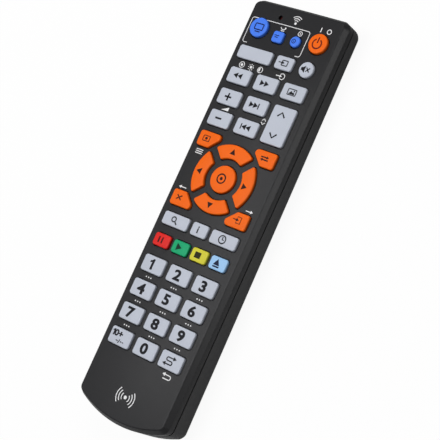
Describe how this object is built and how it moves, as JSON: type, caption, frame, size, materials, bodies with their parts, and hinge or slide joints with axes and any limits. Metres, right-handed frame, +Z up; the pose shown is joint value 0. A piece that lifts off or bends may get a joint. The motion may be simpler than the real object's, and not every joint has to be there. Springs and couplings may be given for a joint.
{
  "type": "universal remote control",
  "caption": "Slim infrared remote control with soft keys, a cursor ring, a number pad, a two-part case and a battery door in the back.",
  "frame": {"origin": "middle of the footprint, on the back that rests on the table", "axes": "+Z up out of the back, +Y towards the infrared end, +X to the right of someone who reads the keys; the key face is tilted to the back"},
  "size_m": [0.048, 0.1858, 0.0199],
  "materials": {
    "case_top": "fine satin",
    "case_bottom": "fine spark texture",
    "door": "fine spark texture",
    "screw": "zinc plated",
    "sheet": "matte",
    "board": "phenolic",
    "chip": "moulded",
    "can": "drawn",
    "sleeve": "shrunk sleeve",
    "clear_lens": "clear",
    "dark_lens": "gloss",
    "window": "dark gloss",
    "lamp": "dull red",
    "cell": "printed sleeve",
    "spring": "nickel plated",
    "key_orange": "matte silicone",
    "key_blue": "matte silicone",
    "key_red": "matte silicone",
    "key_green": "matte silicone",
    "key_yellow": "matte silicone",
    "key_pale_blue": "matte silicone",
    "key_grey": "matte silicone"
  },
  "bodies": {
    "case": {"top_case": "case_top", "bottom_case": "case_bottom", "case_screws": "screw", "keypad_mat": "sheet", "circuit_board": "board", "control_chip": "chip", "resonator": "can", "capacitor": "sleeve", "ir_emitter": "clear_lens", "ir_receiver": "dark_lens", "ir_window": "window", "signal_lamp": "lamp", "cell_left": "cell", "cell_right": "cell", "contact_springs": "spring", "contact_plates": "spring"},
    "door": {"battery_door": "door"},
    "power": {"key_power": "key_orange"},
    "device_round": {"key_device_round": "key_blue"},
    "device_square": {"key_device_square": "key_blue"},
    "device_small": {"key_device_small": "key_blue"},
    "blank": {"key_blank": "key_grey"},
    "input": {"key_input": "key_grey"},
    "mute": {"key_mute": "key_grey"},
    "rewind": {"key_rewind": "key_grey"},
    "forward": {"key_forward": "key_grey"},
    "picture": {"key_picture": "key_grey"},
    "volume_up": {"key_volume_up": "key_grey"},
    "volume_down": {"key_volume_down": "key_grey"},
    "next": {"key_next": "key_grey"},
    "previous": {"key_previous": "key_grey"},
    "channel": {"key_channel": "key_grey"},
    "menu": {"key_menu": "key_orange"},
    "audio": {"key_audio": "key_orange"},
    "cancel": {"key_cancel": "key_orange"},
    "exit": {"key_exit": "key_orange"},
    "up": {"key_up": "key_orange"},
    "down": {"key_down": "key_orange"},
    "left": {"key_left": "key_orange"},
    "right": {"key_right": "key_orange"},
    "ok": {"key_ok": "key_orange"},
    "zoom": {"key_zoom": "key_grey"},
    "info": {"key_info": "key_grey"},
    "timer": {"key_timer": "key_grey"},
    "pause": {"key_pause": "key_red"},
    "play": {"key_play": "key_green"},
    "stop": {"key_stop": "key_yellow"},
    "eject": {"key_eject": "key_pale_blue"},
    "1": {"key_1": "key_grey"},
    "2": {"key_2": "key_grey"},
    "3": {"key_3": "key_grey"},
    "4": {"key_4": "key_grey"},
    "5": {"key_5": "key_grey"},
    "6": {"key_6": "key_grey"},
    "7": {"key_7": "key_grey"},
    "8": {"key_8": "key_grey"},
    "9": {"key_9": "key_grey"},
    "ten_plus": {"key_ten_plus": "key_grey"},
    "0": {"key_0": "key_grey"},
    "return": {"key_return": "key_grey"}
  },
  "joints": [
    {"name": "door_swing", "type": "hinge", "parent": "case", "child": "door", "pos_m": [0, -0.08258, 0.0007], "axis": [-1, 0, 0], "range_deg": [0, 70]},
    {"name": "channel_rock", "type": "hinge", "parent": "case", "child": "channel", "pos_m": [0.014, 0.04302, 0.01377], "axis": [1, 0, 0], "range_deg": [-4, 4], "stiffness_Nm_per_rad": 0.09},
    {"name": "power_press", "type": "slide", "parent": "case", "child": "power", "axis": [0, -0.0215, -0.9998], "range_m": [0, 0.0009], "stiffness_N_per_m": 600},
    {"name": "device_round_press", "type": "slide", "parent": "case", "child": "device_round", "axis": [0, -0.0215, -0.9998], "range_m": [0, 0.0009], "stiffness_N_per_m": 600},
    {"name": "device_square_press", "type": "slide", "parent": "case", "child": "device_square", "axis": [0, -0.0215, -0.9998], "range_m": [0, 0.0009], "stiffness_N_per_m": 600},
    {"name": "device_small_press", "type": "slide", "parent": "case", "child": "device_small", "axis": [0, -0.0215, -0.9998], "range_m": [0, 0.0009], "stiffness_N_per_m": 600},
    {"name": "blank_press", "type": "slide", "parent": "case", "child": "blank", "axis": [0, -0.0215, -0.9998], "range_m": [0, 0.0009], "stiffness_N_per_m": 600},
    {"name": "input_press", "type": "slide", "parent": "case", "child": "input", "axis": [0, -0.0215, -0.9998], "range_m": [0, 0.0009], "stiffness_N_per_m": 600},
    {"name": "mute_press", "type": "slide", "parent": "case", "child": "mute", "axis": [0, -0.0215, -0.9998], "range_m": [0, 0.0009], "stiffness_N_per_m": 600},
    {"name": "rewind_press", "type": "slide", "parent": "case", "child": "rewind", "axis": [0, -0.0215, -0.9998], "range_m": [0, 0.0009], "stiffness_N_per_m": 600},
    {"name": "forward_press", "type": "slide", "parent": "case", "child": "forward", "axis": [0, -0.0215, -0.9998], "range_m": [0, 0.0009], "stiffness_N_per_m": 600},
    {"name": "picture_press", "type": "slide", "parent": "case", "child": "picture", "axis": [0, -0.0215, -0.9998], "range_m": [0, 0.0009], "stiffness_N_per_m": 600},
    {"name": "volume_up_press", "type": "slide", "parent": "case", "child": "volume_up", "axis": [0, -0.0215, -0.9998], "range_m": [0, 0.0009], "stiffness_N_per_m": 600},
    {"name": "volume_down_press", "type": "slide", "parent": "case", "child": "volume_down", "axis": [0, -0.0215, -0.9998], "range_m": [0, 0.0009], "stiffness_N_per_m": 600},
    {"name": "next_press", "type": "slide", "parent": "case", "child": "next", "axis": [0, -0.0215, -0.9998], "range_m": [0, 0.0009], "stiffness_N_per_m": 600},
    {"name": "previous_press", "type": "slide", "parent": "case", "child": "previous", "axis": [0, -0.0215, -0.9998], "range_m": [0, 0.0009], "stiffness_N_per_m": 600},
    {"name": "menu_press", "type": "slide", "parent": "case", "child": "menu", "axis": [0, -0.0215, -0.9998], "range_m": [0, 0.0009], "stiffness_N_per_m": 600},
    {"name": "audio_press", "type": "slide", "parent": "case", "child": "audio", "axis": [0, -0.0215, -0.9998], "range_m": [0, 0.0009], "stiffness_N_per_m": 600},
    {"name": "cancel_press", "type": "slide", "parent": "case", "child": "cancel", "axis": [0, -0.0215, -0.9998], "range_m": [0, 0.0009], "stiffness_N_per_m": 600},
    {"name": "exit_press", "type": "slide", "parent": "case", "child": "exit", "axis": [0, -0.0215, -0.9998], "range_m": [0, 0.0009], "stiffness_N_per_m": 600},
    {"name": "up_press", "type": "slide", "parent": "case", "child": "up", "axis": [0, -0.0215, -0.9998], "range_m": [0, 0.0009], "stiffness_N_per_m": 600},
    {"name": "down_press", "type": "slide", "parent": "case", "child": "down", "axis": [0, -0.0215, -0.9998], "range_m": [0, 0.0009], "stiffness_N_per_m": 600},
    {"name": "left_press", "type": "slide", "parent": "case", "child": "left", "axis": [0, -0.0215, -0.9998], "range_m": [0, 0.0009], "stiffness_N_per_m": 600},
    {"name": "right_press", "type": "slide", "parent": "case", "child": "right", "axis": [0, -0.0215, -0.9998], "range_m": [0, 0.0009], "stiffness_N_per_m": 600},
    {"name": "ok_press", "type": "slide", "parent": "case", "child": "ok", "axis": [0, -0.0215, -0.9998], "range_m": [0, 0.0009], "stiffness_N_per_m": 600},
    {"name": "zoom_press", "type": "slide", "parent": "case", "child": "zoom", "axis": [0, -0.0215, -0.9998], "range_m": [0, 0.0009], "stiffness_N_per_m": 600},
    {"name": "info_press", "type": "slide", "parent": "case", "child": "info", "axis": [0, -0.0215, -0.9998], "range_m": [0, 0.0009], "stiffness_N_per_m": 600},
    {"name": "timer_press", "type": "slide", "parent": "case", "child": "timer", "axis": [0, -0.0215, -0.9998], "range_m": [0, 0.0009], "stiffness_N_per_m": 600},
    {"name": "pause_press", "type": "slide", "parent": "case", "child": "pause", "axis": [0, -0.0215, -0.9998], "range_m": [0, 0.0009], "stiffness_N_per_m": 600},
    {"name": "play_press", "type": "slide", "parent": "case", "child": "play", "axis": [0, -0.0215, -0.9998], "range_m": [0, 0.0009], "stiffness_N_per_m": 600},
    {"name": "stop_press", "type": "slide", "parent": "case", "child": "stop", "axis": [0, -0.0215, -0.9998], "range_m": [0, 0.0009], "stiffness_N_per_m": 600},
    {"name": "eject_press", "type": "slide", "parent": "case", "child": "eject", "axis": [0, -0.0215, -0.9998], "range_m": [0, 0.0009], "stiffness_N_per_m": 600},
    {"name": "1_press", "type": "slide", "parent": "case", "child": "1", "axis": [0, -0.0215, -0.9998], "range_m": [0, 0.0009], "stiffness_N_per_m": 600},
    {"name": "2_press", "type": "slide", "parent": "case", "child": "2", "axis": [0, -0.0215, -0.9998], "range_m": [0, 0.0009], "stiffness_N_per_m": 600},
    {"name": "3_press", "type": "slide", "parent": "case", "child": "3", "axis": [0, -0.0215, -0.9998], "range_m": [0, 0.0009], "stiffness_N_per_m": 600},
    {"name": "4_press", "type": "slide", "parent": "case", "child": "4", "axis": [0, -0.0215, -0.9998], "range_m": [0, 0.0009], "stiffness_N_per_m": 600},
    {"name": "5_press", "type": "slide", "parent": "case", "child": "5", "axis": [0, -0.0215, -0.9998], "range_m": [0, 0.0009], "stiffness_N_per_m": 600},
    {"name": "6_press", "type": "slide", "parent": "case", "child": "6", "axis": [0, -0.0215, -0.9998], "range_m": [0, 0.0009], "stiffness_N_per_m": 600},
    {"name": "7_press", "type": "slide", "parent": "case", "child": "7", "axis": [0, -0.0215, -0.9998], "range_m": [0, 0.0009], "stiffness_N_per_m": 600},
    {"name": "8_press", "type": "slide", "parent": "case", "child": "8", "axis": [0, -0.0215, -0.9998], "range_m": [0, 0.0009], "stiffness_N_per_m": 600},
    {"name": "9_press", "type": "slide", "parent": "case", "child": "9", "axis": [0, -0.0215, -0.9998], "range_m": [0, 0.0009], "stiffness_N_per_m": 600},
    {"name": "ten_plus_press", "type": "slide", "parent": "case", "child": "ten_plus", "axis": [0, -0.0215, -0.9998], "range_m": [0, 0.0009], "stiffness_N_per_m": 600},
    {"name": "0_press", "type": "slide", "parent": "case", "child": "0", "axis": [0, -0.0215, -0.9998], "range_m": [0, 0.0009], "stiffness_N_per_m": 600},
    {"name": "return_press", "type": "slide", "parent": "case", "child": "return", "axis": [0, -0.0215, -0.9998], "range_m": [0, 0.0009], "stiffness_N_per_m": 600}
  ]
}
